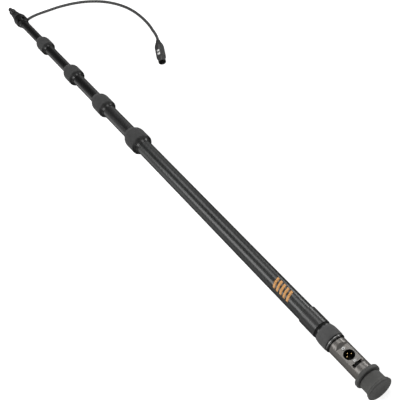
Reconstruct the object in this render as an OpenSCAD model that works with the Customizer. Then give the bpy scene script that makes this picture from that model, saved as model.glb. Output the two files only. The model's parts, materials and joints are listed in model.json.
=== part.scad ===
// Telescopic microphone boom pole with an internal cable, lying on a level surface.
// The pole's axis runs along X with the threaded tip at +X and the rubber foot at -X.
// The origin is on the surface, midway between the foot's rim and the end of the tip's stud.
// Distances named *_x are measured along the pole from the bottom of the dish in the foot's end.

/* [Tubes] */
// Outside diameter of the main tube
main_d = 30; // [29.6:0.1:30.4]
// Radial gap between one tube and the next
tube_gap = 0.3; // [0.3:0.01:0.32]
// Wall of the two largest tubes
wall_large = 1.2; // [1.2:0.01:1.22]
// Wall of the three smallest tubes
wall_small = 1.1; // [1.1:0.01:1.12]
// Where the inner end of tubes 2 to 5 stands inside the pole
inner_end_x = [235, 336, 444, 544]; // [230:1:560]

/* [Collars] */
// Where each twist collar starts
collar_x = [664, 806, 944, 1086]; // [660:1:1090]
// Length of each twist collar
collar_len = [55, 55, 50, 50]; // [50:1:58]
// Largest radius of each twist collar
collar_r = [21.8, 19.3, 18.4, 16.2]; // [16:0.1:22]
// Length of the cone on each collar's foot side
cone_len = [10.5, 9, 8, 7.5]; // [7:0.5:11]

/* [Base] */
// Where the base housing starts
housing_x = 29; // [29:0.1:29.5]
// Radius of the base housing
housing_r = 16.05; // [15.9:0.05:16.2]
// Radius of the cavity inside the housing
housing_bore_r = 10.6; // [10.4:0.1:10.8]
// Height of the milled flat above the pole's axis
flat_h = 11.8; // [11.7:0.05:12]
// How far the socket faces away from straight up
socket_turn = 16; // [0:0.5:20]
// Where the socket's axis meets the pole
socket_x = 62.9; // [62.7:0.05:63.1]
// Largest radius of the coupling nut's grip
coupling_r = 18.3; // [18:0.1:18.6]
// Radius of the ferrule on the main tube
ferrule_r = 16.6; // [16.5:0.05:16.7]

/* [Socket and plug] */
// Bore of the three-pole socket
socket_bore_r = 8.15; // [8.1:0.05:8.2]
// Depth of the socket below the flat
socket_depth = 12; // [11.5:0.1:12.2]
// Radius of a contact pin
pin_r = 1.2; // [1.15:0.05:1.2]
// Radius of the circle that the pins stand on
pin_circle_r = 3.95; // [3.9:0.05:4]
// Radius of the cable plug's nose
plug_nose_r = 7.9; // [7.8:0.05:7.9]
// Radius of the cable plug's body
plug_body_r = 9.9; // [9.8:0.05:10]
// Length of the cable plug with its boot
plug_len = 63.5; // [62:0.5:65]

/* [Tip] */
// Where the tip's head starts
head_x = 1218; // [1217:0.5:1219]
// Largest radius of the head
head_r = 14.6; // [14.4:0.1:14.8]
// Angle of the cable's hole, from straight up towards -Y
cable_hole_turn = 102; // [100:1:104]
// Radius of the cable
cable_r = 3.1; // [3:0.05:3.15]

/* [Hidden] */
$fn = 72;

rim_x = -4;                   // the foot's rim stands this far beyond the bottom of its dish
end_x = 1308;                 // end of the stud
mid_x = (rim_x + end_x) / 2;  // the origin's place along the pole
rest_r = 21.8;                // the foot and the first collar rest on this radius
running = 0.06;               // radial clearance of a sliding or turning fit
glue = 0.05;                  // radial gap of a glued joint
eps = 0.5;                    // how far a cutter runs past what it cuts

// Outside and inside radius of each tube, the main tube first
wall = [wall_large, wall_large, wall_small, wall_small, wall_small];
tube_r = [
    for (i = 0, r = main_d / 2; i < 5; i = i + 1, r = r - wall[i - 1] - tube_gap) r
];
tube_bore_r = [for (i = [0:4]) tube_r[i] - wall[i]];

thread_wall = 1.9;            // clamp base's wall over the tube
rubber = 2;                   // thickness of a grip
front_gap = 0.45;             // clearance between a collar's mouth and the tube in it
tube_in_collar = 20;          // how far a tube reaches into its own collar
spigot_in_collar = 30;        // how far a clamp base reaches into its collar

main_tube_x = 131.5;          // the main tube's start, inside the ferrule
ferrule_end_x = 164.4;
coupling_x = 93.4;            // the coupling nut's start
spigot_r = 15.2;              // ferrule's threaded end, inside the coupling nut
flange_x = 97;                // flange that ties the housing to the nut

dish_rim_r = 18;
dish_r = (dish_rim_r * dish_rim_r + rim_x * rim_x) / (-2 * rim_x);  // the dish is part of a sphere

slot_x = 40;                // the slot's start
slot_w = 6.9;
slot_half_angle = 38;
flat_from_x = slot_x + slot_w / 2;
flat_to_x = 79.5;
flat_end_slope = 40;
screw_reach = 13.05;          // from the socket's axis to each screw
bar_h = [6, 9.4];             // underside and top of the bar that takes the screws

tube_5_end_x = 1224;
hole_x = 1231.5;              // the six holes in the head
hole_r = 3.6;
bend_r = 8;                   // centreline radius of the cable's bend in the head
bend_x = hole_x - bend_r;     // where the bend starts
hole_out_r = 14.2;            // where the cable leaves its grommet
head_end_x = 1277;
stud_x = 1242;
stud_r = 4.7625;              // 3/8 inch thread, major radius
shank_r = 4.2;                // the stud's plain part, inside the head and the adapter
adapter_r = 7.9375;           // 5/8 inch thread, major radius
adapter_end_x = 1294;

coil_r = 7;                   // outside of the wound part of the inner cable
coil_bore_r = 3;
lead_r = 2;
coil_x = 556;
anchor_x = 1200;

plug_turn = -26.5;            // direction of the plug's axis on the surface
window = [13.6, 28.4];        // the latch's window, from the plug's face
window_w = 6;
latch_gap = 0.4;
boot_from = 43;

// The free cable's centreline, from the grommet to the plug's boot
route = [
    [579.5, -13.9, 18.85], [579.5, -17.23, 18.14], [579.2, -23.2, 16.85], [578.8, -30.6, 14.4], [578.4, -38.9, 10.9],
    [576.4, -48.9, 7.1], [571.5, -60, 4.5], [563.8, -71.8, 3.3], [553.9, -84.4, 3.1],
    [541.8, -97.3, 3.1], [527.5, -111.5, 3.1], [511.1, -125.7, 3.1], [492.4, -139.8, 3.1],
    [471.6, -153, 3.1], [449, -165.3, 3.1], [424.4, -175.8, 3.1], [398.6, -184.3, 3.1],
    [371.5, -190.6, 3.1], [344.3, -193.9, 3.1], [318, -194.7, 3.2], [293.7, -193.6, 3.6],
    [273.6, -191.3, 4.8], [257.7, -188.3, 6.8], [245.2, -186.3, 8.7], [232.4, -183.5, 9.8],
    [224.2, -180.8, 9.9], [218.8, -178.1, 9.9],
];

// ---- placing ---------------------------------------------------------------

// World-oriented frame on the pole's axis at x
module at(x) {
    translate([x - mid_x, 0, rest_r]) children();
}

// The same frame with its local Z along the pole towards the tip
module along(x) {
    at(x) rotate([0, 90, 0]) children();
}

// Solid of revolution about the pole from [x, radius] points
module turned(points) {
    along(0) rotate_extrude() polygon([for (p = points) [p[1], p[0]]]);
}

module pipe(x0, x1, r_out, r_in) {
    turned([[x0, r_in], [x1, r_in], [x1, r_out], [x0, r_out]]);
}

// Frame of the socket: its Z leaves the flat, its X runs towards the tip
module socket_frame() {
    at(socket_x) rotate([socket_turn, 0, 0]) children();
}

// Frame of the plug: its Z runs from the face to the end of the boot, its X points down
module plug_frame() {
    translate(route[len(route) - 1]) rotate([0, 0, plug_turn]) rotate([0, 90, 0])
        translate([0, 0, -plug_len]) children();
}

module plug_turned(points) {
    plug_frame() rotate_extrude() polygon([for (p = points) [p[1], p[0]]]);
}

// Points of an arc in an [x, radius] outline
function arc(cx, cr, r, a0, a1, steps) =
    [for (i = [0:steps]) let (a = a0 + (a1 - a0) * i / steps) [cx + r * cos(a), cr + r * sin(a)]];

// Places of the three contacts, the middle one towards the tip
module contacts_at() {
    for (a = [0, 90, -90]) rotate([0, 0, a]) translate([pin_circle_r, 0, 0]) children();
}

// Tube of many flat sides along a curve; across is a direction that the curve never takes
function unit(v) = v / norm(v);

module swept(curve, r, sides, across) {
    last = len(curve) - 1;
    rings = [
        for (i = [0:last])
            let (
                way = unit(curve[min(last, i + 1)] - curve[max(0, i - 1)]),
                side = unit(cross(across, way)),
                up = cross(way, side)
            )
            for (k = [0:sides - 1])
                let (a = (k + 0.5) * 360 / sides)
                curve[i] + r * (cos(a) * side + sin(a) * up)
    ];
    polyhedron(
        points = rings,
        faces = [
            [for (k = [0:sides - 1]) k],
            for (i = [0:last - 1], k = [0:sides - 1])
                let (a = i * sides + k, b = i * sides + (k + 1) % sides)
                [a, a + sides, b + sides, b],
            [for (k = [sides - 1:-1:0]) last * sides + k]
        ]
    );
}

// ---- foot and base ---------------------------------------------------------

module foot_cap() {
    color([0.27, 0.27, 0.26])
    turned(concat(
        [[6, 0]],
        arc(-dish_r, 0, dish_r, 0, asin(dish_rim_r / dish_r), 10),
        arc(rim_x + 1.8, rest_r - 1.8, 1.8, 180, 20, 6),
        arc(7.5, 27.6, 9.3, 226, 270, 6),
        [[14, 18.2], [17.9, 18.3], [18.5, 17.8], [18.9, 16.8], [20.4, 16.8], [20.4, 8 + glue],
            [6, 8 + glue]]
    ));
}

module foot_ring() {
    color([0.24, 0.24, 0.235])
    turned(concat(
        [[21, 8 + glue], [21, 19.4]],
        arc(22.8, rest_r - 1.6, 1.6, 165, 90, 4),
        arc(26, rest_r - 2, 2, 90, 15, 4),
        [[28.7, 17.4], [28.7, 8 + glue]]
    ));
}

module end_plug() {
    color([0.55, 0.56, 0.58])
    turned([[6.2, 0], [6.2, 7], [7.2, 8], [28.8, 8], [28.8, 10.4], [38, 10.4], [38, 4], [30, 4], [30, 0]]);
}

module base_housing() {
    color([0.36, 0.35, 0.33])
    difference() {
        turned([
            [housing_x, housing_bore_r], [housing_x, housing_r - 0.6], [housing_x + 0.6, housing_r],
            [91.2, housing_r], [91.8, housing_r - 0.6], [91.8, 14], [flange_x, 14],
            [flange_x, 14.9], [100, 14.9], [100, housing_bore_r]
        ]);
        socket_frame() {
            flat_cutter();
            cylinder(h = 30, r = socket_bore_r + 0.85);
            for (s = [-1, 1]) translate([s * screw_reach, 0, 0]) cylinder(h = 30, r = 1.7);
        }
        slot_cutter();
    }
}

// Cuts the flat, which starts inside the slot and slopes up to the round part at its other end
module flat_cutter() {
    rise = 10;
    from = flat_from_x - socket_x;
    to = flat_to_x - socket_x;
    rotate([90, 0, 0]) linear_extrude(40, center = true) polygon([
        [from, flat_h], [to, flat_h], [to + rise / tan(flat_end_slope), flat_h + rise],
        [from, flat_h + rise]
    ]);
}

// Ring sector that opens the slot in the housing's wall
module slot_cutter() {
    reach = 24;
    intersection() {
        pipe(slot_x, slot_x + slot_w, housing_r + eps, housing_bore_r - eps);
        at(slot_x - 1) rotate([socket_turn, 0, 0]) rotate([90, 0, 90]) linear_extrude(slot_w + 2) polygon([
            [0, 0],
            for (a = [-1, -0.5, 0, 0.5, 1])
                [reach * sin(a * slot_half_angle), reach * cos(a * slot_half_angle)]
        ]);
    }
}

module slot_liner() {
    color([0.03, 0.03, 0.03]) pipe(38.3, 47.3, housing_bore_r - glue, 9.7);
}

module socket_shell() {
    bar_len = 2 * screw_reach + 4.6;
    color([0.04, 0.04, 0.04])
    socket_frame() difference() {
        union() {
            translate([0, 0, flat_h - socket_depth - 3.5])
                cylinder(h = socket_depth + 3.3, r = socket_bore_r + 0.8);
            translate([-bar_len / 2, -3, bar_h[0]]) cube([bar_len, 6, bar_h[1] - bar_h[0]]);
        }
        translate([0, 0, flat_h - socket_depth - 4]) cylinder(h = 30, r = socket_bore_r);
        for (s = [-1, 1]) translate([s * screw_reach, 0, 0]) cylinder(h = 30, r = 1.5 + glue);
    }
}

module socket_insert() {
    color([0.05, 0.05, 0.05])
    socket_frame() difference() {
        translate([0, 0, flat_h - socket_depth - 3.4]) cylinder(h = 3.4, r = socket_bore_r - glue);
        contacts_at() translate([0, 0, -8]) cylinder(h = 16, r = pin_r + glue);
    }
}

module socket_pins() {
    color([0.83, 0.65, 0.30])
    socket_frame() contacts_at() {
        translate([0, 0, -7.2]) cylinder(h = flat_h + 7.2 - 2.6, r = pin_r);
        translate([0, 0, flat_h - 2.6]) cylinder(h = 1, r1 = pin_r, r2 = 0.5);
    }
}

module socket_screws() {
    color([0.80, 0.80, 0.79])
    socket_frame() for (s = [-1, 1]) translate([s * screw_reach, 0, 0]) difference() {
        rotate_extrude() polygon([
            [0, 6.4], [1.5, 6.4], [1.5, flat_h], [2.9, flat_h], [2.9, flat_h + 0.6],
            [2.5, flat_h + 1.1], [2, flat_h + 1.3], [0, flat_h + 1.3]
        ]);
        translate([0, 0, flat_h - 1.5]) cylinder(h = 4, r = 1.25, $fn = 6);
    }
}

module socket_wires() {
    knee = -8.6;
    color([0.55, 0.13, 0.10])
    socket_frame() for (c = [[pin_circle_r, 0, 0], [0, pin_circle_r, 1.2], [0, -pin_circle_r, -1.2]])
        swept(
            [
                [c[0], c[1], -7.3], [c[0] + 0.4, c[1], knee + 0.4], [c[0] + 1.6, c[1], knee],
                [11, c[1] * 0.8, knee], [15, c[1] * 0.6, knee + 2.4], [18.5, c[2], -2.2],
                [20, c[2], -0.8], [21.6, c[2], -0.4]
            ],
            0.55, 8, [0, 1, 0]
        );
}

module coupling_nut() {
    lip_r = 14 + 0.08;
    bore_r = spigot_r + 0.08;
    color([0.16, 0.16, 0.16])
    turned([
        [coupling_x, lip_r], [coupling_x, 16], [coupling_x + 0.4, 16.4], [124, 16.4],
        [124.6, 15.8], [124.6, bore_r], [flange_x - 0.3, bore_r], [flange_x - 0.3, lip_r]
    ]);
}

module coupling_grip() {
    inner = 16.4 + 0.03;
    color([0.28, 0.28, 0.28])
    turned([
        [98.6, inner], [98.6, coupling_r - 1], [99.2, coupling_r - 0.3], [100.4, coupling_r],
        [112, coupling_r], [116, coupling_r - 0.3], [119, coupling_r - 0.8],
        [121.5, coupling_r - 1.3], [122.2, coupling_r - 1.6], [122.2, inner]
    ]);
}

module retaining_ring() {
    inner = 16.4 + 0.03;
    color([0.45, 0.45, 0.44])
    turned(concat(
        [[94.8, inner], [94.8, 16.6]],
        arc(96, 16.6, 1.2, 180, 0, 8),
        [[97.2, inner]]
    ));
}

module coupling_seal() {
    inner = spigot_r + 0.03;
    color([0.02, 0.02, 0.02])
    turned([
        [124.9, inner], [124.9, 15.4], [125.3, 15.7], [127.9, 15.7], [128.3, 15.4], [128.3, inner]
    ]);
}

module ferrule() {
    color([0.10, 0.10, 0.10])
    turned([
        [100.3, 13.7], [100.3, spigot_r - 0.5], [100.8, spigot_r], [128.4, spigot_r],
        [128.4, ferrule_r - 0.4], [128.8, ferrule_r], [ferrule_end_x - 1, ferrule_r],
        [ferrule_end_x, ferrule_r - 0.8], [ferrule_end_x, tube_r[0] + glue],
        [main_tube_x - 0.1, tube_r[0] + glue], [main_tube_x - 0.1, 13.7]
    ]);
}

// ---- tubes -----------------------------------------------------------------

function tube_start(i) = i == 1 ? main_tube_x : inner_end_x[i - 2];
function tube_end(i) = i == 5 ? tube_5_end_x : collar_x[i - 1] + tube_in_collar;

module tube(i) {
    color(i == 1 ? [0.22, 0.23, 0.23] : [0.13, 0.13, 0.13])
    pipe(tube_start(i), tube_end(i), tube_r[i - 1], tube_bore_r[i - 1]);
}

// Plastic bush on the inner end of tube i, which slides in the tube around it
module guide_bush(i) {
    x = tube_start(i);
    slide_r = tube_bore_r[i - 2] - running;
    plug_r = tube_bore_r[i - 1] - glue;
    inner = tube_bore_r[i - 1] - 1.2;
    color([0.75, 0.74, 0.70])
    turned([
        [x - 10, inner], [x - 10, slide_r - 0.5], [x - 9.5, slide_r], [x - 0.1, slide_r],
        [x - 0.1, plug_r], [x + 8, plug_r], [x + 8, inner]
    ]);
}

// ---- twist collar i, between tube i and tube i + 1 --------------------------

// Radius at share q of the way from a tube's surface to the collar's largest radius
function near_r(i, q) = tube_r[i - 1] + q * (collar_r[i - 1] - tube_r[i - 1]);
function far_r(i, q) = tube_r[i] + q * (collar_r[i - 1] - tube_r[i]);

// Threaded sleeve glued on the end of tube i
module clamp_base(i) {
    x = collar_x[i - 1];
    cone = cone_len[i - 1] / 2;
    thread_r = tube_r[i - 1] + thread_wall;
    color([0.30, 0.30, 0.30])
    turned([
        [x, tube_r[i - 1] + glue], [x, near_r(i, 0.08)], [x + cone * 0.5, near_r(i, 0.18)],
        [x + cone, near_r(i, 0.42)], [x + cone, thread_r], [x + spigot_in_collar - 0.5, thread_r],
        [x + spigot_in_collar, thread_r - 0.5], [x + spigot_in_collar, tube_r[i - 1] + glue]
    ]);
}

// Slit plastic ring that the nut closes on tube i + 1
module collet(i) {
    x = collar_x[i - 1];
    end = x + collar_len[i - 1];
    bore = tube_r[i] + running;
    wide = tube_r[i - 1] + 1.2;
    color([0.82, 0.81, 0.78])
    difference() {
        turned([
            [x + tube_in_collar + 0.6, bore], [x + tube_in_collar + 0.6, tube_r[i - 1] - 0.15],
            [x + spigot_in_collar + 0.3, tube_r[i - 1] - 0.15], [x + spigot_in_collar + 0.3, wide],
            [end - 14, wide], [end - 10.5, tube_r[i] + 0.9], [end - 10.5, bore]
        ]);
        for (a = [0, 60, 120])
            at(x + spigot_in_collar - 4) rotate([a, 0, 0]) translate([0, -0.6, -25]) cube([30, 1.2, 50]);
    }
}

// Outer outline of the nut from its step to its front end
function nut_outline(i) = let (x = collar_x[i - 1], end = x + collar_len[i - 1]) [
    [end - 13, collar_r[i - 1] - rubber], [end - 4, tube_r[i] + 1.3]
];

module lock_nut(i) {
    x = collar_x[i - 1];
    end = x + collar_len[i - 1];
    cone = cone_len[i - 1];
    thread_r = tube_r[i - 1] + thread_wall + 0.08;
    groove = 0.8;
    color([0.20, 0.20, 0.20])
    turned(concat(
        [
            [x + cone * 0.5 + 0.4, thread_r], [x + cone * 0.5 + 0.4, near_r(i, 0.48)],
            [x + cone * 0.76, near_r(i, 0.76)], [x + cone * 0.76, near_r(i, 0.76) - groove],
            [x + cone * 0.82, near_r(i, 0.82) - groove], [x + cone * 0.82, near_r(i, 0.82)],
            [x + cone, near_r(i, 0.98)], [x + cone + 0.4, near_r(i, 0.98) - groove],
            [x + cone + 0.4, collar_r[i - 1] - rubber]
        ],
        nut_outline(i),
        [
            [end - 4, tube_r[i] + front_gap], [end - 8, tube_r[i] + front_gap],
            [end - 12, thread_r]
        ]
    ));
}

module grip(i) {
    x = collar_x[i - 1];
    end = x + collar_len[i - 1];
    start = x + cone_len[i - 1] + 1;
    inner = [for (p = nut_outline(i)) [p[0], p[1] + 0.03]];
    color([0.29, 0.29, 0.29])
    turned([
        [start, collar_r[i - 1] - rubber + 0.03], [start, collar_r[i - 1] - 0.5],
        [start + 1, collar_r[i - 1]], [end - 18, collar_r[i - 1]], [end - 15, far_r(i, 0.95)],
        [end - 12, far_r(i, 0.86)], [end - 10, far_r(i, 0.75)], [end - 7, far_r(i, 0.54)],
        [end - 3, far_r(i, 0.28)], [end - 0.8, far_r(i, 0.16)], [end, tube_r[i] + front_gap],
        [end - 3.95, tube_r[i] + front_gap], [end - 3.95, inner[1][1]], inner[0]
    ]);
}

// ---- inner cable -----------------------------------------------------------

module lead_tail() {
    color([0.08, 0.08, 0.08]) turned([[86, 0], [86, lead_r], [coil_x + 4, lead_r], [coil_x + 4, 0]]);
}

module lead_coil() {
    color([0.09, 0.09, 0.09]) pipe(coil_x, anchor_x - 0.1, coil_r, coil_bore_r);
}

module lead_anchor() {
    color([0.12, 0.12, 0.12]) pipe(anchor_x, bend_x - 0.5, tube_bore_r[4] - glue, cable_r + glue);
}

// Cable from the anchor through the head's cavity and out of the grommet
module lead_bend() {
    way_out = [0, -sin(cable_hole_turn), cos(cable_hole_turn)];
    color([0.07, 0.07, 0.07])
    at(0) swept(
        [
            [anchor_x, 0, 0],
            for (a = [0:15:90])
                [bend_x + bend_r * sin(a), 0, 0] + bend_r * (1 - cos(a)) * way_out,
            [hole_x, 0, 0] + hole_out_r * way_out
        ],
        cable_r, 12, [0, cos(cable_hole_turn), sin(cable_hole_turn)]
    );
}

// ---- tip -------------------------------------------------------------------

module tip_head() {
    color([0.20, 0.20, 0.20])
    difference() {
        turned([
            [head_x, tube_r[4] + glue], [head_x, 9.9], [head_x + 1, 10.2], [1225, 11],
            [1230, 12.8], [1234, 14.2], [1236, head_r], [1245.6, head_r], [1245.6, head_r - 0.8],
            [1246.6, head_r - 0.8], [1246.6, head_r], [1249, head_r], [1250.5, 14.2],
            [1255, 12.9], [1260, 11.6], [1265, 10.5], [1270, 9.6], [1275, 9.05],
            [head_end_x, 8.7], [head_end_x, shank_r + glue], [1240, shank_r + glue],
            [1240, 8.5], [tube_5_end_x + 0.1, 8.5], [tube_5_end_x + 0.1, tube_r[4] + glue]
        ]);
        for (a = [0:60:300])
            at(hole_x) rotate([cable_hole_turn + a, 0, 0]) translate([0, 0, 6]) cylinder(h = 20, r = hole_r);
    }
}

module cable_grommet() {
    color([0.05, 0.05, 0.05])
    at(hole_x) rotate([cable_hole_turn, 0, 0]) translate([0, 0, 8.9]) difference() {
        cylinder(h = hole_out_r - 8.9, r = hole_r - glue);
        translate([0, 0, -eps]) cylinder(h = 10, r = cable_r + glue);
    }
}

module tip_stud() {
    color([0.62, 0.62, 0.61])
    turned([
        [stud_x, 0], [stud_x, shank_r - 0.5], [stud_x + 0.5, shank_r],
        [adapter_end_x + 0.1, shank_r], [adapter_end_x + 0.1, stud_r], [end_x - 1, stud_r],
        [end_x, stud_r - 1], [end_x, 0]
    ]);
}

module thread_adapter() {
    color([0.12, 0.12, 0.12])
    turned([
        [head_end_x + 0.2, shank_r + glue], [head_end_x + 0.2, adapter_r],
        [adapter_end_x - 0.8, adapter_r], [adapter_end_x, adapter_r - 0.8],
        [adapter_end_x, shank_r + glue]
    ]);
}

// ---- free cable and its plug -------------------------------------------------

// Point of a smooth curve through the route, between point i and point i + 1
function route_at(i) = route[max(0, min(len(route) - 1, i))];
function smooth(i, t) =
    let (a = route_at(i - 1), b = route_at(i), c = route_at(i + 1), d = route_at(i + 2))
    0.5 * (2 * b + (c - a) * t + (2 * a - 5 * b + 4 * c - d) * t * t + (3 * b - a - 3 * c + d) * t * t * t);
module cord() {
    curve = [for (i = [0:len(route) - 2], t = [0, 0.5]) smooth(i, t), route[len(route) - 1]];
    color([0.07, 0.07, 0.07]) swept(curve, cable_r, 8, [0, 0, 1]);
}

module plug_boot() {
    color([0.07, 0.07, 0.07])
    plug_turned([
        [boot_from, 0], [boot_from, 9.3], [45, 9.4], [48, 8.8], [52, 7.4], [56, 5.9],
        [60, 4.9], [plug_len - 0.7, 4.4], [plug_len, 3.9], [plug_len, 0]
    ]);
}

module plug_shell() {
    color([0.10, 0.10, 0.10])
    difference() {
        plug_turned([
            [0, 7], [0, plug_nose_r - 0.4], [0.4, plug_nose_r], [12, plug_nose_r],
            [13, plug_body_r - 0.3], [14, plug_body_r], [boot_from - 1, plug_body_r],
            [boot_from - 0.1, plug_body_r - 0.6], [boot_from - 0.1, 7]
        ]);
        plug_frame() translate([-20, -window_w / 2, window[0]]) cube([20, window_w, window[1] - window[0]]);
    }
}

module plug_insert() {
    color([0.05, 0.05, 0.05])
    plug_frame() difference() {
        translate([0, 0, 1]) cylinder(h = 31, r = 7 - glue);
        rotate([0, 0, 180]) contacts_at() translate([0, 0, -1]) cylinder(h = 40, r = 1.6 + glue);
    }
}

module plug_contacts() {
    color([0.83, 0.65, 0.30])
    plug_frame() rotate([0, 0, 180]) contacts_at() translate([0, 0, 2.5]) difference() {
        cylinder(h = 33, r = 1.6);
        translate([0, 0, -eps]) cylinder(h = 16, r = 1.25);
    }
}

module plug_latch() {
    color([0.60, 0.60, 0.58])
    plug_frame() intersection() {
        translate([-12, -window_w / 2 + latch_gap, window[0] + latch_gap])
            cube([3.4, window_w - 2 * latch_gap, window[1] - window[0] - 2 * latch_gap]);
        cylinder(h = 40, r = plug_body_r + 0.9);
    }
}

module latch_spring() {
    low = 7.1;
    high = 8.3;
    color([0.75, 0.75, 0.74])
    plug_frame() translate([0, 2, 0]) rotate([90, 0, 0]) linear_extrude(4) polygon([
        [-low, 15.5], [-high, 19.5], [-high, 22.5], [-low, 26.5],
        [-low - 0.25, 26.5], [-high - 0.25, 22.5], [-high - 0.25, 19.5], [-low - 0.25, 15.5]
    ]);
}

// ---- assembly ----------------------------------------------------------------

foot_cap();
foot_ring();
end_plug();
base_housing();
slot_liner();
socket_shell();
socket_insert();
socket_pins();
socket_screws();
socket_wires();
coupling_nut();
coupling_grip();
retaining_ring();
coupling_seal();
ferrule();
tube(1);  // main_tube
for (i = [2:5]) {
    tube(i);
    guide_bush(i);
}
for (i = [1:4]) {
    clamp_base(i);
    collet(i);
    lock_nut(i);
    grip(i);
}
lead_tail();
lead_coil();
lead_anchor();
lead_bend();
tip_head();
tip_stud();
thread_adapter();
cable_grommet();
cord();
plug_boot();
plug_shell();
plug_insert();
plug_contacts();
plug_latch();
latch_spring();
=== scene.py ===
"""Looks of a telescopic microphone boom pole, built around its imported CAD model.

The pole's axis runs along X, from the rubber foot to the threaded tip, and the cable lies on the -Y side.
Turned pieces are lathed again from their own CAD outlines, finely and with eased corners, and get their knurls,
threads and ribs there. The rest are the CAD nodes with better materials.
"""

import json
import math

import bmesh
import bpy
from mathutils import Matrix, Vector


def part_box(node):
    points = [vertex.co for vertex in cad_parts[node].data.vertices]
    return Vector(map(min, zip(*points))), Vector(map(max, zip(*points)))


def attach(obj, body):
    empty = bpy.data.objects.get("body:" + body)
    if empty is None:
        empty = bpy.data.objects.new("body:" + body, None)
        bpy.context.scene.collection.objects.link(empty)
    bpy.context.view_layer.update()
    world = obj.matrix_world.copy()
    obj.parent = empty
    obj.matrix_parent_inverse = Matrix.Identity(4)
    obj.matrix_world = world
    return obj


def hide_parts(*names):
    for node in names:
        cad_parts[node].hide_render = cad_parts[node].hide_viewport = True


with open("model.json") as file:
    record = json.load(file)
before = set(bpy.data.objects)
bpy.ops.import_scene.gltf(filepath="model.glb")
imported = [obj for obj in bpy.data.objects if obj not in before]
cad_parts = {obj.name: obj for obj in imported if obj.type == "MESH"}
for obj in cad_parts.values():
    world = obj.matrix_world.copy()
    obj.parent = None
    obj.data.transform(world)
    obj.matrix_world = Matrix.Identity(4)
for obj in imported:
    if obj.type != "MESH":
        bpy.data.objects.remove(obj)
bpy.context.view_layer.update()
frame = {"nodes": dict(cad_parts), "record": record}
nodes = frame["nodes"]
mounts = {m["name"]: m for m in frame["record"]["mounts"]}
body_of = {n: b for b, names in frame["record"]["behaviour"]["bodies"].items() for n in names}
slot_of = {s["node"]: s["material_slot"] for s in frame["record"]["subparts"]}

MM = 0.001
TINY = 2e-5                 # points nearer than this are one point, in metres
POLE = {"origin": Vector((0, 0, mounts["mic_thread"]["pos_m"][2])), "along": Vector((1, 0, 0))}
PLUG = {"origin": Vector(mounts["mic_plug"]["pos_m"]), "along": -Vector(mounts["mic_plug"]["axis"]).normalized()}
COLLARS = range(1, 5)


# ---- camera ------------------------------------------------------------------

CAMERA_AT = (-1.0823, -0.0056, 1.1818)
CAMERA_ROLL = math.radians(44.40)
LENS_MM, SENSOR_MM = 73.35, 36


def make_camera():
    """The camera stands above and behind the foot, and is rolled so that the pole runs from corner to corner."""
    forward = Vector((0.6157, 0, -0.7880))
    level_up = Vector((0.7880, 0, 0.6157))
    level_right = Vector((0, -1, 0))
    right = math.cos(CAMERA_ROLL) * level_right - math.sin(CAMERA_ROLL) * level_up
    up = math.sin(CAMERA_ROLL) * level_right + math.cos(CAMERA_ROLL) * level_up
    data = bpy.data.cameras.new("camera")
    data.sensor_width = SENSOR_MM
    data.lens = LENS_MM
    data.clip_start, data.clip_end = 0.05, 50
    camera = bpy.data.objects.new("camera", data)
    bpy.context.scene.collection.objects.link(camera)
    turn = Matrix((right, up, -forward)).transposed().to_4x4()
    camera.matrix_world = Matrix.Translation(CAMERA_AT) @ turn
    bpy.context.scene.camera = camera


# ---- shaders -----------------------------------------------------------------

looks = {}                  # every material by the name that it's asked for


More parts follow.
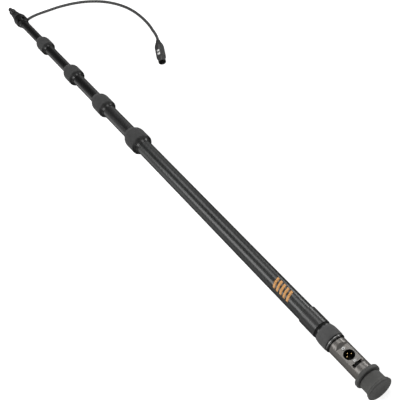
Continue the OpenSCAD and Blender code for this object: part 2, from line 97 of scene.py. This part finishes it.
class Look:
    """A Principled material built node by node. Colours are linear, lengths in the shader are millimetres."""

    def __init__(self, name, colour, roughness, metallic=0.0, specular=0.5):
        self.material = looks[name] = bpy.data.materials.new(name)
        self.material.use_nodes = True
        self.tree = self.material.node_tree
        self.shader = self.tree.nodes["Principled BSDF"]
        self.put("Base Color", (*colour, 1))
        self.put("Roughness", roughness)
        self.put("Metallic", metallic)
        self.put("Specular IOR Level", specular)

    def put(self, socket, value):
        """Sets a socket of the shader to a value, or links a node's output to it."""
        if isinstance(value, bpy.types.NodeSocket):
            self.tree.links.new(value, self.shader.inputs[socket])
        else:
            self.shader.inputs[socket].default_value = value

    def node(self, kind, inputs=(), **settings):
        made = self.tree.nodes.new(kind)
        for key, value in settings.items():
            setattr(made, key, value)
        for socket, value in dict(inputs).items():
            if isinstance(value, bpy.types.NodeSocket):
                self.tree.links.new(value, made.inputs[socket])
            else:
                made.inputs[socket].default_value = value
        return made

    def maths(self, operation, *values):
        return self.node("ShaderNodeMath", enumerate(values), operation=operation).outputs[0]

    def place(self):
        """The point on the piece, in millimetres."""
        at = self.node("ShaderNodeTexCoord").outputs["Object"]
        return self.node("ShaderNodeVectorMath", {0: at, "Scale": 1 / MM}, operation="SCALE").outputs[0]

    def round_pole(self, radius):
        """Sockets of the distance along the pole and of the distance round it at that radius."""
        x, y, z = self.node("ShaderNodeSeparateXYZ", {0: self.place()}).outputs
        z = self.maths("SUBTRACT", z, POLE["origin"].z / MM)
        return x, self.maths("MULTIPLY", self.maths("ARCTAN2", y, z), radius)

    def noise(self, vector, scale, detail):
        wanted = {"Vector": vector, "Scale": scale, "Detail": detail, "Roughness": 0.55}
        return self.node("ShaderNodeTexNoise", wanted).outputs["Fac"]

    def vector(self, x, y):
        return self.node("ShaderNodeCombineXYZ", {0: x, 1: y}).outputs[0]

    def spread(self, value, low, high, start=0.3, end=0.7):
        """The value's range from start to end, mapped to low to high."""
        wanted = {"Value": value, "From Min": start, "From Max": end, "To Min": low, "To Max": high}
        return self.node("ShaderNodeMapRange", wanted).outputs[0]

    def mix(self, share, first, second):
        made = self.node("ShaderNodeMix", data_type="RGBA")
        for socket, value in ((0, share), (6, first), (7, second)):
            if isinstance(value, bpy.types.NodeSocket):
                self.tree.links.new(value, made.inputs[socket])
            else:
                made.inputs[socket].default_value = value if socket == 0 else (*value, 1)
        return made.outputs[2]

    def bump(self, height, distance, strength):
        """Relief of the surface, its distance in metres."""
        wanted = {"Height": height, "Distance": distance, "Strength": strength}
        self.put("Normal", self.node("ShaderNodeBump", wanted).outputs[0])


def shade(colour, factor):
    return tuple(c * factor for c in colour)


def grey(level):
    return (level, level, level)


def carbon(name, colour, thread, radius, tow, roughness):
    """Lacquered twill weave: tows run round and along the pole, over two and under two, in two shades."""
    look = Look(name, colour, roughness)
    along, around = look.round_pole(radius)
    u = look.maths("DIVIDE", along, tow)
    v = look.maths("DIVIDE", around, tow)
    step = look.maths("ADD", look.maths("FLOOR", u), look.maths("FLOOR", v))
    over = look.maths("LESS_THAN", look.maths("FLOORED_MODULO", step, 4.0), 2.0)
    across_u = look.maths("PINGPONG", look.maths("FRACT", v), 0.5)
    across_v = look.maths("PINGPONG", look.maths("FRACT", u), 0.5)
    one = look.maths("MULTIPLY", over, across_u)
    other = look.maths("MULTIPLY", look.maths("SUBTRACT", 1.0, over), across_v)
    crown = look.maths("ADD", one, other)
    grain = look.noise(look.vector(look.maths("MULTIPLY", along, 0.25), around), 3.0, 3.0)
    woven = look.mix(over, colour, thread)
    fibre = look.mix(look.spread(grain, 0.0, 0.45), woven, shade(colour, 0.55))
    patch = look.noise(look.place(), 0.02, 2.0)
    look.put("Base Color", look.mix(look.spread(patch, 0.0, 0.3), fibre, shade(thread, 1.25)))
    look.put("Roughness", look.spread(grain, roughness - 0.04, roughness + 0.08))
    look.bump(crown, 0.00006, 0.5)
    look.put("Coat Weight", 0.3)
    look.put("Coat Roughness", 0.18)


def rubber(name, colour, roughness=0.62, grain=0.00004, sheen=0.0, specular=0.1):
    """Moulded rubber: fine skin texture, and lighter where hands and the ground rub it."""
    look = Look(name, colour, roughness, specular=specular)
    look.put("Sheen Weight", sheen)
    look.put("Sheen Roughness", 0.5)
    fine = look.noise(look.place(), 3.5, 4.0)
    broad = look.noise(look.place(), 0.12, 3.0)
    worn_colour = look.mix(look.spread(broad, 0.0, 0.5), colour, shade(colour, 1.35))
    look.put("Base Color", look.mix(look.spread(fine, 0.0, 0.35), worn_colour, shade(colour, 0.7)))
    look.put("Roughness", look.spread(broad, roughness + 0.06, roughness - 0.08))
    look.bump(fine, grain, 0.6)


def turned_metal(name, colour, roughness, metallic=1.0, tint=None):
    """Turned and anodised metal: fine lathe lines round the pole, faint blotches and rubbed patches."""
    look = Look(name, colour, roughness, metallic)
    along, around = look.round_pole(1.0)
    stretched = look.vector(look.maths("MULTIPLY", along, 9.0), look.maths("MULTIPLY", around, 0.4))
    rings = look.noise(stretched, 1.0, 2.0)
    blotch = look.noise(look.place(), 0.09, 4.0)
    base = look.mix(look.spread(blotch, 0.0, 0.6), colour, tint or shade(colour, 1.25))
    look.put("Base Color", look.mix(look.spread(rings, 0.0, 0.25), base, shade(colour, 0.7)))
    look.put("Roughness", look.spread(rings, roughness - 0.05, roughness + 0.07))
    look.bump(rings, 0.000012, 0.7)


def plastic(name, colour, roughness, specular=0.5):
    """Moulded plastic or printed ink: a fine skin and slow changes of shade."""
    look = Look(name, colour, roughness, specular=specular)
    fine = look.noise(look.place(), 2.2, 3.0)
    broad = look.noise(look.place(), 0.2, 2.0)
    look.put("Base Color", look.mix(look.spread(broad, 0.0, 0.5), colour, shade(colour, 1.4)))
    look.put("Roughness", look.spread(fine, roughness - 0.05, roughness + 0.06))
    look.bump(fine, 0.00002, 0.5)


def plated(name, colour, roughness):
    """Plated or bare metal of a small piece: soft brush marks and a little tarnish."""
    look = Look(name, colour, roughness, metallic=1.0)
    brushed = look.noise(look.place(), 1.4, 4.0)
    fine = look.noise(look.place(), 6.0, 2.0)
    look.put("Base Color", look.mix(look.spread(brushed, 0.0, 0.35), colour, shade(colour, 0.7)))
    look.put("Roughness", look.spread(brushed, roughness - 0.06, roughness + 0.1))
    look.bump(fine, 0.000006, 0.5)


def jacket(name, colour, pale):
    """Cable jacket: the lay of the strands under it shows as slanting bands in its UV map."""
    look = Look(name, colour, 0.5)
    u, v, _ = look.node("ShaderNodeSeparateXYZ", {0: look.node("ShaderNodeTexCoord").outputs["UV"]}).outputs
    lay = look.maths("FRACT", look.maths("ADD", look.maths("DIVIDE", u, 9.0), look.maths("MULTIPLY", v, 2.0)))
    band = look.maths("PINGPONG", lay, 0.5)
    fine = look.noise(look.place(), 4.0, 3.0)
    base = look.mix(look.spread(band, 0.0, 1.0, 0.12, 0.38), colour, pale)
    look.put("Base Color", look.mix(look.spread(fine, 0.0, 0.4), base, shade(colour, 0.6)))
    look.put("Roughness", look.spread(fine, 0.42, 0.58))
    look.bump(fine, 0.00003, 0.5)


def make_looks():
    """One for each slot of the record, and some for pieces that look different from their slot."""
    carbon("carbon_main", (0.015, 0.016, 0.016), (0.029, 0.031, 0.030), 15.0, 2.4, 0.31)
    carbon("carbon_second", grey(0.011), grey(0.020), 12.0, 2.0, 0.28)
    carbon("carbon_inner", grey(0.005), grey(0.011), 12.0, 2.0, 0.24)
    rubber("grip_rubber", grey(0.060), 0.8, sheen=0.10, specular=0.03)
    rubber("coupling_rubber", grey(0.105))
    rubber("foot_rubber", (0.112, 0.112, 0.108), 0.6, 0.00006)
    rubber("boot_rubber", grey(0.042), 0.5, 0.00003)
    rubber("seal_rubber", grey(0.010), 0.5)
    turned_metal("ferrule_black", grey(0.034), 0.3, metallic=0.0)
    turned_metal("housing_metal", (0.190, 0.183, 0.174), 0.36, 0.55, tint=(0.205, 0.187, 0.169))
    turned_metal("bare_aluminium", (0.36, 0.36, 0.355), 0.3)
    turned_metal("black_anodised", grey(0.012), 0.26, metallic=0.0)
    # Lock nuts: black anodised made darker still, as painted shade for the shaded grooves at each collar's base end.
    turned_metal("nut_black_painted_shade", grey(0.005), 0.5, metallic=0.0)
    turned_metal("black_oxide", (0.030, 0.030, 0.031), 0.34, metallic=0.6)
    plastic("collet_nylon", (0.55, 0.53, 0.48), 0.45)
    plastic("black_plastic", grey(0.005), 0.45, specular=0.12)
    plated("contact_gold", (0.80, 0.56, 0.26), 0.24)
    plated("screw_steel", (0.66, 0.66, 0.65), 0.45)
    plated("latch_steel", (0.97, 0.97, 0.96), 0.7)
    turned_metal("plug_black", grey(0.040), 0.34, metallic=0.0)
    plastic("wire_red", (0.30, 0.02, 0.015), 0.4)
    jacket("cable_jacket", grey(0.036), grey(0.088))
    plastic("mark_orange", (0.72, 0.36, 0.12), 0.45)


# ---- shapes ------------------------------------------------------------------

def add_piece(name, verts, faces, body, slot, look=None, replaces=(), uv=None, smooth=True):
    """A visible piece on a body. Its look is its slot's own, if none is given."""
    mesh = bpy.data.meshes.new(name)
    mesh.from_pydata(verts, [], faces)
    made = bmesh.new()
    made.from_mesh(mesh)
    bmesh.ops.recalc_face_normals(made, faces=made.faces)
    made.to_mesh(mesh)
    made.free()
    mesh.polygons.foreach_set("use_smooth", [smooth] * len(mesh.polygons))
    if uv:
        layer = mesh.uv_layers.new(name="UVMap")
        for loop in mesh.loops:
            layer.data[loop.index].uv = uv[loop.vertex_index]
    mesh.materials.append(looks[look or slot])
    piece = bpy.data.objects.new(name, mesh)
    bpy.context.scene.collection.objects.link(piece)
    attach(piece, body)
    if replaces:
        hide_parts(*replaces)
    return piece


def outline(node, axis=POLE):
    """The half section of a turned CAD node: [along, radius] points in order, in metres, each a corner."""
    mesh = nodes[node].data
    points, where = [], []
    for v in mesh.vertices:
        offset = v.co - axis["origin"]
        along = offset.dot(axis["along"])
        p = Vector((along, (offset - along * axis["along"]).length))
        near = next((i for i, q in enumerate(points) if (p - q).length < TINY), None)
        if near is None:
            near = len(points)
            points.append(p)
        where.append(near)
    links = {frozenset((where[a], where[b])) for a, b in (e.vertices for e in mesh.edges)}
    links = [tuple(pair) for pair in links if len(pair) == 2]
    links = [pair for pair in links if not any(lies_between(points, i, pair) for i in range(len(points)))]
    beside = {i: [] for i in range(len(points))}
    for a, b in links:
        beside[a].append(b)
        beside[b].append(a)
    ends = [i for i in beside if len(beside[i]) == 1]
    path = [ends[0] if ends else 0]
    while True:
        onward = [i for i in beside[path[-1]] if i not in path]
        if not onward:
            break
        path.append(onward[0])
    section = [points[i] for i in path]
    if ends:
        section = [Vector((section[0].x, 0)), *section, Vector((section[-1].x, 0))]
    count = len(section)
    return [p for i, p in enumerate(section) if is_corner(section[i - 1], p, section[(i + 1) % count])]


def lies_between(points, i, pair):
    """Whether a point lies on the line between two others, so that their link runs over it."""
    if i in pair:
        return False
    a, b = points[pair[0]], points[pair[1]]
    span = b - a
    t = (points[i] - a).dot(span) / span.length_squared
    return 0 < t < 1 and (points[i] - a - t * span).length < TINY


def is_corner(before, here, after):
    turn = (here - before).angle(after - here, 0.0)
    return turn > math.radians(0.3) or here.y < TINY


def eased(points, size):
    """The closed outline with each sharp corner cut back and rounded."""
    out = []
    count = len(points)
    for i, here in enumerate(points):
        before, after = points[i - 1], points[(i + 1) % count]
        turn = (here - before).angle(after - here, 0.0)
        if turn < math.radians(25) or here.y < TINY:
            out.append(here)
            continue
        cut = min(size, 0.4 * (here - before).length, 0.4 * (after - here).length)
        start = here + (before - here).normalized() * cut
        end = here + (after - here).normalized() * cut
        for t in (0.0, 0.33, 0.67, 1.0):
            out.append((1 - t) ** 2 * start + 2 * t * (1 - t) * here + t * t * end)
    return out


def divided(points, low, high, above, step):
    """The outline with its outer stretch between two places along it cut into short steps."""
    out = []
    count = len(points)
    for i, here in enumerate(points):
        after = points[(i + 1) % count]
        out.append(here)
        inside = all(low - TINY <= p.x <= high + TINY and p.y > above for p in (here, after))
        pieces = max(1, round((after - here).length / step)) if inside else 1
        for k in range(1, pieces):
            out.append(here.lerp(after, k / pieces))
    return out


def lathe(name, points, body, slot, axis=POLE, sides=128, relief=None, replaces=(), look=None):
    """A closed outline turned about an axis. relief(along, angle, radius) gives the radius that a point has."""
    across = Vector((0, 0, 1)).cross(axis["along"]).normalized()
    up = axis["along"].cross(across)
    verts, uv, rings = [], [], []
    for p in points:
        ring = []
        for k in range(1 if p.y < TINY else sides):
            angle = 2 * math.pi * k / sides
            radius = relief(p.x, angle, p.y) if relief else p.y
            outward = math.cos(angle) * up + math.sin(angle) * across
            ring.append(len(verts))
            verts.append(axis["origin"] + p.x * axis["along"] + radius * outward)
            uv.append((p.x / MM, angle * p.y / MM))
        rings.append(ring)
    faces = []
    for i, ring in enumerate(rings):
        after = rings[(i + 1) % len(rings)]
        if len(ring) == 1 and len(after) == 1:
            continue
        for k in range(sides):
            a, b = ring[k % len(ring)], ring[(k + 1) % len(ring)]
            c, d = after[(k + 1) % len(after)], after[k % len(after)]
            faces.append([a] + ([b] if b != a else []) + ([c] if c != d else []) + [d])
    piece = add_piece(name, verts, faces, body, slot, look, replaces, uv)
    if not relief:
        piece.modifiers.new("normals", "WEIGHTED_NORMAL").keep_sharp = True
    return piece


def relathe(node, look=None):
    """A CAD node's own outline, lathed finely with eased corners."""
    return lathe(f"{node}_turned", eased(outline(node), 0.25 * MM), body_of[node], slot_of[node],
                 replaces=[node], look=look)


# ---- knurls, threads and ribs --------------------------------------------------

def fade(x, low, high, width):
    """0 outside low to high, 1 well inside it."""
    return max(0.0, min(1.0, (x - low) / width, (high - x) / width))


def knurled(node, low, high, pitch, depth, look=None):
    """A grip with a diamond knurl pressed into its outside between two places along the pole."""
    section = eased(outline(node), 0.3 * MM)
    radius = max(p.y for p in section)
    bore = min(p.y for p in section)
    plain = bore + 1.2 * MM
    teeth = round(2 * math.pi * radius / pitch)

    def relief(x, angle, r):
        if r < 0.5 * (bore + radius) and r < plain:
            return r
        left = math.cos(teeth * angle + 2 * math.pi * x / pitch)
        right = math.cos(teeth * angle - 2 * math.pi * x / pitch)
        grooves = max(0.0, left) ** 3 + max(0.0, right) ** 3
        return r - depth * min(1.0, grooves) * fade(x, low, high, 0.8 * MM)

    fine = divided(section, low, high, plain, pitch / 4)
    return lathe(f"{node}_knurled", fine, body_of[node], slot_of[node], sides=4 * teeth, relief=relief,
                 replaces=[node], look=look)


def threaded(node, low, high, pitch, depth):
    """A CAD cylinder at a thread's major diameter, with its real thread cut into it."""
    section = eased(outline(node), 0.3 * MM)
    major = max(p.y for p in section if low <= p.x <= high)

    def relief(x, angle, r):
        if not low < x < high or r < major - 2 * depth:
            return r
        turn = (x / pitch - angle / (2 * math.pi)) % 1.0
        groove = depth * (1 - 2 * abs(turn - 0.5))
        return min(r, major - groove * fade(x, low, high, 0.4 * pitch))

    fine = divided(section, low, high, major - 0.2 * MM, pitch / 8)
    return lathe(f"{node}_threaded", fine, body_of[node], slot_of[node], sides=96, relief=relief, replaces=[node])


# ---- the cord ------------------------------------------------------------------

ROUTE_MM = [
    (579.5, -13.9, 18.85), (579.5, -17.23, 18.14), (579.2, -23.2, 16.85), (578.8, -30.6, 14.4),
    (578.4, -38.9, 10.9), (576.4, -48.9, 7.1), (571.5, -60, 4.5), (563.8, -71.8, 3.3),
    (553.9, -84.4, 3.1), (541.8, -97.3, 3.1), (527.5, -111.5, 3.1), (511.1, -125.7, 3.1),
    (492.4, -139.8, 3.1), (471.6, -153, 3.1), (449, -165.3, 3.1), (424.4, -175.8, 3.1),
    (398.6, -184.3, 3.1), (371.5, -190.6, 3.1), (344.3, -193.9, 3.1), (318, -194.7, 3.2),
    (293.7, -193.6, 3.6), (273.6, -191.3, 4.8), (257.7, -188.3, 6.8), (245.2, -186.3, 8.7),
    (232.4, -183.5, 9.8), (224.2, -180.8, 9.9), (218.8, -178.1, 9.9),
]
CORD_RADIUS = 3.1 * MM


def smooth_path(points, steps):
    """A smooth curve through the points."""
    path = []
    last = len(points) - 1
    for i in range(last):
        a, b, c, d = (points[max(0, min(last, k))] for k in (i - 1, i, i + 1, i + 2))
        for k in range(steps):
            t = k / steps
            path.append(0.5 * (2 * b + (c - a) * t + (2 * a - 5 * b + 4 * c - d) * t * t
                               + (3 * b - a - 3 * c + d) * t ** 3))
    return path + [points[last]]


def tube(name, path, radius, sides, body, slot, replaces, relief=None):
    """A tube along a path, its UV map in millimetres along it and turns round it."""
    verts, uv, faces = [], [], []
    along = 0.0
    side = None
    for i, here in enumerate(path):
        way = (path[min(i + 1, len(path) - 1)] - path[max(i - 1, 0)]).normalized()
        if side is None:
            side = way.orthogonal().normalized()
        side = (side - side.dot(way) * way).normalized()
        up = way.cross(side)
        along += (here - path[i - 1]).length if i else 0.0
        for k in range(sides):
            angle = 2 * math.pi * k / sides
            r = relief(along, angle, radius) if relief else radius
            verts.append(here + r * (math.cos(angle) * side + math.sin(angle) * up))
            uv.append((along / MM, k / sides))
    for i in range(len(path) - 1):
        for k in range(sides):
            a, b = i * sides + k, i * sides + (k + 1) % sides
            faces.append((a, b, b + sides, a + sides))
    faces.append(tuple(range(sides)))
    faces.append(tuple(len(verts) - sides + k for k in range(sides)))
    return add_piece(name, verts, faces, body, slot, replaces=replaces, uv=uv)


def strand_lay(along, angle, radius):
    """The jacket stands a little proud over the strands that are wound under it."""
    strands, lay, dip = 4, 36 * MM, 0.035
    return radius * (1 - dip * (1 - math.cos(strands * (angle + along * 2 * math.pi / lay))) / 2)


def make_cord():
    path = smooth_path([Vector(p) * MM for p in ROUTE_MM], 6)
    piece = tube("free_cable", path, CORD_RADIUS, 20, body_of["cord"], slot_of["cord"], ["cord"], strand_lay)
    plug_pieces = [nodes[n] for n in ("plug_shell", "plug_insert", "plug_contacts", "plug_latch")]
    plug_pieces += [make_boot(), make_latch_shade_rib()]


def make_latch_shade_rib():
    """A black rib across the plug's latch button, as painted shade: it stands for the shaded groove that splits the
    latch's highlight in two.
    """
    across = Vector((0, 0, 1)).cross(PLUG["along"]).normalized()
    low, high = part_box("plug_latch")
    middle = Vector(((low.x + high.x) / 2, (low.y + high.y) / 2, high.z))
    half_width = 2.55
    section = ((-1.9, -0.4), (-1.5, 0.2), (1.5, 0.2), (1.9, -0.4))   # along the plug and up, in millimetres
    verts = [middle + (PLUG["along"] * along + across * side + Vector((0, 0, rise))) * MM
             for along, rise in section for side in (-half_width, half_width)]
    faces = [(0, 2, 3, 1), (2, 4, 5, 3), (4, 6, 7, 5), (6, 0, 1, 7), (0, 6, 4, 2), (1, 3, 5, 7)]
    return add_piece("plug_latch_shade_rib", verts, faces, body_of["plug_latch"], "black_plastic", smooth=False)


def make_boot():
    """The plug's boot, with ribs round it."""
    section = eased(outline("plug_boot", PLUG), 0.3 * MM)
    end = max(p.x for p in section)
    start = min(p.x for p in section)
    pitch, depth, core = 2.6 * MM, 0.45 * MM, 2.6 * MM

    def relief(x, angle, r):
        ribs = 0.5 - 0.5 * math.cos(2 * math.pi * (end - x) / pitch)
        return r - depth * ribs * fade(x, start + 5 * MM, end - 0.6 * MM, 2 * MM) * (r > core)

    fine = divided(section, start, end, core, 0.4 * MM)
    return lathe("plug_boot_ribbed", fine, body_of["plug_boot"], slot_of["plug_boot"], PLUG, 96, relief,
                 ["plug_boot"], look="boot_rubber")


# ---- the pole's pieces -----------------------------------------------------------

def ease_cad(node, width):
    """Rounds a CAD node's edges with modifiers, its mesh as it is."""
    piece = nodes[node]
    weld = piece.modifiers.new("weld", "WELD")
    weld.merge_threshold = 1e-6
    bevel = piece.modifiers.new("bevel", "BEVEL")
    bevel.width = width
    bevel.segments = 2
    bevel.limit_method = "ANGLE"
    bevel.angle_limit = math.radians(35)
    piece.modifiers.new("normals", "WEIGHTED_NORMAL").keep_sharp = True


def make_base():
    for node in ("foot_cap", "foot_ring", "coupling_nut", "retaining_ring", "coupling_seal", "ferrule"):
        relathe(node)
    low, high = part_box("coupling_grip")
    knurled("coupling_grip", low.x + 2 * MM, high.x - 1.5 * MM, 1.5 * MM, 0.22 * MM, "coupling_rubber")


def make_collars():
    for i in COLLARS:
        relathe(f"clamp_base_{i}")
        # the lock nut's look is darker than black anodised: painted shade for the collar's grooves
        relathe(f"lock_nut_{i}", look="nut_black_painted_shade")
        low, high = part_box(f"grip_{i}")
        knurled(f"grip_{i}", low.x + 1.2 * MM, high.x - 5 * MM, 1.6 * MM, 0.25 * MM)


def make_tip():
    stud_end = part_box("tip_stud")[1].x
    low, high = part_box("thread_adapter")
    threaded("thread_adapter", low.x, high.x, 25.4 / 27 * MM, 0.55 * MM)
    threaded("tip_stud", high.x, stud_end, 25.4 / 16 * MM, 0.9 * MM)


def make_coil():
    """The inner cable wound in the innermost tube, as a real helix in its CAD solid's space."""
    low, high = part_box("lead_coil")
    outer = (high.z - low.z) / 2
    wire = 1.9 * MM
    turn = outer - wire
    pitch = 4.1 * MM
    steps = 20
    count = int((high.x - low.x - 2 * wire) / pitch * steps)
    path = []
    for k in range(count + 1):
        angle = 2 * math.pi * k / steps
        x = low.x + wire + pitch * k / steps
        path.append(Vector((x, turn * math.sin(angle), POLE["origin"].z + turn * math.cos(angle))))
    tube("lead_coil_wound", path, wire, 8, body_of["lead_coil"], slot_of["lead_coil"], ["lead_coil"])


def make_mark():
    """Slanting orange bars on the main tube, a plain generic mark."""
    raised, thickness = 0.03 * MM, 0.06 * MM
    radius = (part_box("main_tube")[1].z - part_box("main_tube")[0].z) / 2 + raised
    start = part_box("foot_cap")[0].x + 200 * MM
    bar, gap, slant, half_turn = 5.2 * MM, 3.4 * MM, 6 * MM, math.radians(36)
    bars, steps = 5, 14
    verts, faces = [], []
    for i in range(bars):
        x0 = start + i * (bar + gap)
        first = len(verts)
        for k in range(steps + 1):
            t = k / steps
            angle = -half_turn + 2 * half_turn * t
            for r in (radius, radius - thickness):
                for x in (x0 + slant * t, x0 + slant * t + bar):
                    verts.append((x, -r * math.sin(angle), POLE["origin"].z + r * math.cos(angle)))
        for k in range(steps):
            a = first + 4 * k
            b = a + 4
            faces += [(a, a + 1, b + 1, b), (a + 2, b + 2, b + 3, a + 3), (a, b, b + 2, a + 2),
                      (a + 1, a + 3, b + 3, b + 1)]
        last = first + 4 * steps
        faces += [(first, first + 2, first + 3, first + 1), (last, last + 1, last + 3, last + 2)]
    add_piece("colour_mark", verts, faces, "base", "mark_orange")


LOOK_OF = {"plug_shell": "plug_black", "plug_latch": "latch_steel", "tube_2": "carbon_second"}
EDGE_MM = {"base_housing": 0.2, "tip_head": 0.3, "plug_shell": 0.25, "plug_latch": 0.4, "socket_shell": 0.15}


def dress_cad():
    """Gives each CAD node that stays its material, and rounds the edges of those that show."""
    for node, piece in nodes.items():
        piece.data.materials.clear()
        piece.data.materials.append(looks[LOOK_OF.get(node, slot_of[node])])
    for node, width in EDGE_MM.items():
        ease_cad(node, width * MM)


# ---- floor and light -------------------------------------------------------------

def make_floor():
    """A plain pale floor just under the pole. It stays out of the pole's gloss."""
    half, z = 6.0, -0.3 * MM
    mesh = bpy.data.meshes.new("floor")
    mesh.from_pydata([(-half, -half, z), (half, -half, z), (half, half, z), (-half, half, z)], [], [(0, 1, 2, 3)])
    look = Look("floor", (0.6, 0.6, 0.6), 0.9, specular=0.0)
    look.put("Emission Color", (1, 1, 1, 1))
    look.put("Emission Strength", 0.84)
    mesh.materials.append(look.material)
    floor = bpy.data.objects.new("floor", mesh)
    bpy.context.scene.collection.objects.link(floor)
    floor.visible_glossy = False


def softbox(name, middle, length, width, radiance, turn=False):
    """A softbox that runs along X and faces the pole's axis, or runs along Y and faces the foot.

    The radiance is that of its face."""
    data = bpy.data.lights.new(name, "AREA")
    data.shape = "RECTANGLE"
    data.size, data.size_y = length, width
    data.energy = radiance * math.pi * length * width
    lamp = bpy.data.objects.new(name, data)
    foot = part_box("foot_cap")[0].x
    along, away = Vector((1, 0, 0)), Vector((0, middle[1], middle[2]))
    if turn:
        along, away = Vector((0, 1, 0)), Vector((middle[0] - foot, 0, middle[2]))
    away.normalize()
    lamp.matrix_world = Matrix.Translation(middle) @ Matrix((along, away.cross(along), away)).transposed().to_4x4()
    lamp.visible_camera = False
    bpy.context.scene.collection.objects.link(lamp)


# How the walls' brightness changes: axis, then from one place to another, and from one factor to the other
WALLS = (("X", 0.62, 0.73, 0.42, 1.30), ("X", 0.71, 0.83, 1.0, 0.18), ("Y", -0.6, 0.6, 0.55, 1.0),
         ("Z", -0.5, -0.02, 0.08, 1.0), ("Z", -0.05, 0.62, 1.25, 0.07))
SEEN_WALLS = 0.97           # the walls' brightness where they are seen past the floor's edge


def make_world():
    """Studio walls: brightest at the horizon half way round to the tip, dark overhead, dimmer on the cable's side."""
    world = bpy.data.worlds.new("studio")
    world.use_nodes = True
    tree = world.node_tree
    coord = tree.nodes.new("ShaderNodeTexCoord")
    split = tree.nodes.new("ShaderNodeSeparateXYZ")
    tree.links.new(coord.outputs["Generated"], split.inputs[0])
    strength = None
    for axis, start, end, low, high in WALLS:
        ramp = tree.nodes.new("ShaderNodeMapRange")
        ramp.interpolation_type = "SMOOTHSTEP"
        for socket, value in (("From Min", start), ("From Max", end), ("To Min", low), ("To Max", high)):
            ramp.inputs[socket].default_value = value
        tree.links.new(split.outputs[axis], ramp.inputs["Value"])
        if strength:
            product = tree.nodes.new("ShaderNodeMath")
            product.operation = "MULTIPLY"
            tree.links.new(strength, product.inputs[0])
            tree.links.new(ramp.outputs[0], product.inputs[1])
            strength = product.outputs[0]
        else:
            strength = ramp.outputs[0]
    back = tree.nodes["Background"]
    back.inputs["Color"].default_value = (1, 1, 1, 1)
    # Seen directly, the walls are as plain and pale as the floor.
    seen = tree.nodes.new("ShaderNodeMix")
    tree.links.new(tree.nodes.new("ShaderNodeLightPath").outputs["Is Camera Ray"], seen.inputs["Factor"])
    tree.links.new(strength, seen.inputs["A"])
    seen.inputs["B"].default_value = SEEN_WALLS
    tree.links.new(seen.outputs["Result"], back.inputs["Strength"])
    bpy.context.scene.world = world


def make_light():
    make_world()
    softbox("left_softbox", (0.14, 0.60, 0.93), 1.5, 0.52, 3.9)
    softbox("right_softbox", (0.16, -0.67, 0.88), 1.5, 0.50, 2.7)
    softbox("low_softbox", (-0.03, -1.30, 0.10), 0.60, 0.26, 9.0)
    softbox("top_softbox", (-0.10, 0.0, 1.3), 0.9, 0.45, 0.5)
    softbox("foot_softbox", (-1.9, -0.5, 0.75), 1.2, 0.9, 0.45, turn=True)
    view = bpy.context.scene.view_settings
    view.view_transform = "Standard"
    view.look = "None"
    view.exposure = 0.0


# ---- making ----------------------------------------------------------------------

make_camera()
make_looks()
make_cord()
dress_cad()
make_base()
make_collars()
make_tip()
make_coil()
make_mark()
make_floor()
make_light()
